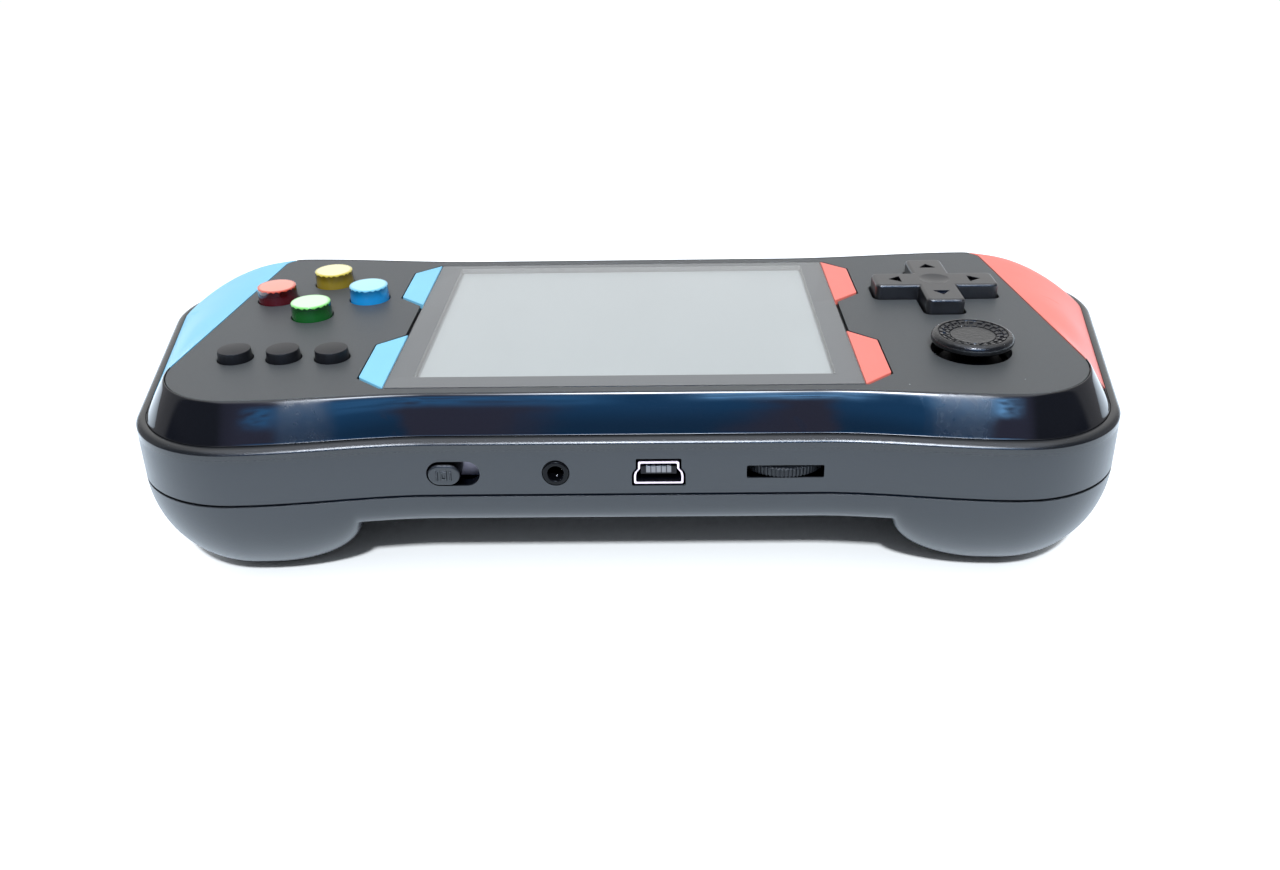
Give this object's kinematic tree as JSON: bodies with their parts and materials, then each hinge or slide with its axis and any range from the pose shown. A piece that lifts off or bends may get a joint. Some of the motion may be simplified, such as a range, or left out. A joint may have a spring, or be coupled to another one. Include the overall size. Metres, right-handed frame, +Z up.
{
  "type": "handheld game console",
  "caption": "Handheld game console with a screen, cross pad, thumbstick, colour push buttons, sockets along one edge and rounded grips under a black case.",
  "frame": {"origin": "middle of the bounding box, on the surface that the grips rest on", "axes": "+X runs along the width towards the cross pad side, -Y points out of the edge with the sockets, +Z is up through the face"},
  "size_m": [0.1766, 0.0804, 0.035],
  "materials": {
    "plate_black": "fine matte moulded plastic",
    "gloss_black": "polished black plastic",
    "shell_black": "satin moulded plastic",
    "blue_plastic": "satin sky blue plastic",
    "red_plastic": "satin coral red plastic",
    "lens_clear": "clear acrylic sheet",
    "display": "switched-off display",
    "tray_metal": "stamped sheet",
    "board_green": "circuit board",
    "pad_black": "black moulded plastic",
    "stick_black": "black rubbery plastic",
    "inner_white": "natural acetal",
    "rubber_grey": "silicone rubber",
    "yellow_clear": "tinted translucent plastic",
    "red_clear": "tinted translucent plastic",
    "green_clear": "tinted translucent plastic",
    "blue_clear": "tinted translucent plastic",
    "key_black": "black plastic",
    "switch_black": "black plastic",
    "switch_metal": "stamped steel",
    "jack_black": "black plastic",
    "usb_steel": "bright plated steel",
    "usb_black": "black plastic",
    "contact_brass": "plated contact",
    "wheel_black": "black plastic",
    "pot_brown": "laminate",
    "battery_grey": "aluminium can",
    "speaker_grey": "speaker basket",
    "screw_steel": "steel"
  },
  "bodies": {
    "case": {"face_plate": "plate_black", "bezel_near": "gloss_black", "bezel_far": "gloss_black", "end_cap_blue": "blue_plastic", "end_cap_red": "red_plastic", "front_shell": "shell_black", "rear_shell": "shell_black", "screen_lens": "lens_clear", "ears_blue": "blue_plastic", "ears_red": "red_plastic", "lcd_panel": "display", "lcd_tray": "tray_metal", "main_board": "board_green", "d_pad_membrane": "rubber_grey", "stick_base": "switch_black", "action_membrane": "rubber_grey", "key_membrane": "rubber_grey", "switch_body": "switch_metal", "av_jack": "jack_black", "usb_shell": "usb_steel", "usb_insert": "usb_black", "usb_contacts": "contact_brass", "volume_pot": "pot_brown", "battery": "battery_grey", "speaker": "speaker_grey", "case_screws": "screw_steel"},
    "pad_pivot": {"d_pad_pivot": "inner_white"},
    "pad": {"d_pad": "pad_black"},
    "gimbal": {"stick_gimbal": "inner_white"},
    "stick": {"stick_cap": "stick_black"},
    "yellow_button": {"button_yellow": "yellow_clear"},
    "red_button": {"button_red": "red_clear"},
    "green_button": {"button_green": "green_clear"},
    "blue_button": {"button_blue": "blue_clear"},
    "left_key": {"key_left": "key_black"},
    "middle_key": {"key_middle": "key_black"},
    "right_key": {"key_right": "key_black"},
    "power_knob": {"switch_knob": "switch_black"},
    "volume": {"volume_wheel": "wheel_black"}
  },
  "joints": [
    {"name": "yellow_button_press", "type": "slide", "parent": "case", "child": "yellow_button", "axis": [0, 0, -1], "range_m": [0, 0.001], "stiffness_N_per_m": 500},
    {"name": "red_button_press", "type": "slide", "parent": "case", "child": "red_button", "axis": [0, 0, -1], "range_m": [0, 0.001], "stiffness_N_per_m": 500},
    {"name": "green_button_press", "type": "slide", "parent": "case", "child": "green_button", "axis": [0, 0, -1], "range_m": [0, 0.001], "stiffness_N_per_m": 500},
    {"name": "blue_button_press", "type": "slide", "parent": "case", "child": "blue_button", "axis": [0, 0, -1], "range_m": [0, 0.001], "stiffness_N_per_m": 500},
    {"name": "left_key_press", "type": "slide", "parent": "case", "child": "left_key", "axis": [0, 0, -1], "range_m": [0, 0.001], "stiffness_N_per_m": 500},
    {"name": "middle_key_press", "type": "slide", "parent": "case", "child": "middle_key", "axis": [0, 0, -1], "range_m": [0, 0.001], "stiffness_N_per_m": 500},
    {"name": "right_key_press", "type": "slide", "parent": "case", "child": "right_key", "axis": [0, 0, -1], "range_m": [0, 0.001], "stiffness_N_per_m": 500},
    {"name": "pad_rock_side", "type": "hinge", "parent": "case", "child": "pad_pivot", "pos_m": [0.05641, 0.0114, 0.0285], "axis": [0, 1, 0], "range_deg": [-3, 3], "stiffness_Nm_per_rad": 0.17},
    {"name": "pad_rock_fore", "type": "hinge", "parent": "pad_pivot", "child": "pad", "pos_m": [0.05641, 0.0114, 0.0285], "axis": [1, 0, 0], "range_deg": [-3, 3], "stiffness_Nm_per_rad": 0.17},
    {"name": "stick_tilt_fore", "type": "hinge", "parent": "case", "child": "gimbal", "pos_m": [0.05699, -0.0161, 0.02615], "axis": [1, 0, 0], "range_deg": [-5, 5], "stiffness_Nm_per_rad": 0.03},
    {"name": "stick_tilt_side", "type": "hinge", "parent": "gimbal", "child": "stick", "pos_m": [0.05699, -0.0161, 0.02615], "axis": [0, 1, 0], "range_deg": [-5, 5], "stiffness_Nm_per_rad": 0.03},
    {"name": "power_slide", "type": "slide", "parent": "case", "child": "power_knob", "axis": [1, 0, 0], "range_m": [0, 0.0027]},
    {"name": "volume_turn", "type": "hinge", "parent": "case", "child": "volume", "pos_m": [0.0249, -0.0308, 0.0208], "axis": [0, 0, 1], "range_deg": [-140, 140]}
  ]
}
